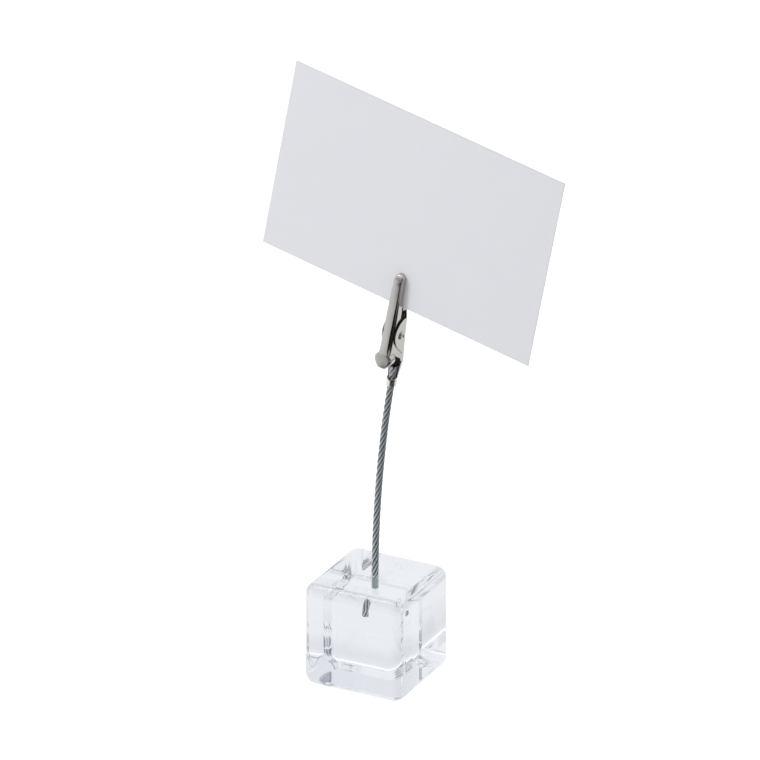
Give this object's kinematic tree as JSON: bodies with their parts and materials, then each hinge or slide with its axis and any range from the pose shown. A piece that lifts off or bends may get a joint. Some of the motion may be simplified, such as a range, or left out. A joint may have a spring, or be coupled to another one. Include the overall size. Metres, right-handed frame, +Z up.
{
  "type": "place card holder",
  "caption": "Clear block with a curved wire rope stem and a small sprung clip that holds a plain place card upright on a table.",
  "frame": {"origin": "centre of the block's underside", "axes": "+Z up from the table, -Y towards the block's front face and the clip's lever, +X the side to which the stem leans"},
  "size_m": [0.0935, 0.03, 0.1748],
  "materials": {
    "clear_acrylic": "polished clear acrylic",
    "clear_adhesive": "clear cured adhesive",
    "rope_steel": "drawn stainless wires laid into a rope",
    "nickel_sheet": "bright nickel plate",
    "rivet_steel": "bright nickel plate",
    "spring_steel": "drawn spring wire",
    "card_paper": "smooth uncoated card"
  },
  "bodies": {
    "stand": {"base_block": "clear_acrylic", "bore_adhesive": "clear_adhesive", "rope_stem": "rope_steel", "lower_jaw": "nickel_sheet", "pivot_rivet": "rivet_steel", "torsion_spring": "spring_steel"},
    "lever_jaw": {"upper_jaw": "nickel_sheet"},
    "card": {"place_card": "card_paper"}
  },
  "joints": [
    {"name": "jaw_hinge", "type": "hinge", "parent": "stand", "child": "lever_jaw", "pos_m": [0.00748, -0.00369, 0.10378], "axis": [0.9823, -0.0993, -0.1591], "range_deg": [0, 20], "stiffness_Nm_per_rad": 0.023, "springref_deg": -42.4, "deforming": ["torsion_spring"]},
    {"name": "card_slide", "type": "slide", "parent": "stand", "child": "card", "axis": [0.1599, 0, 0.9871], "range_m": [0, 0.015]}
  ]
}
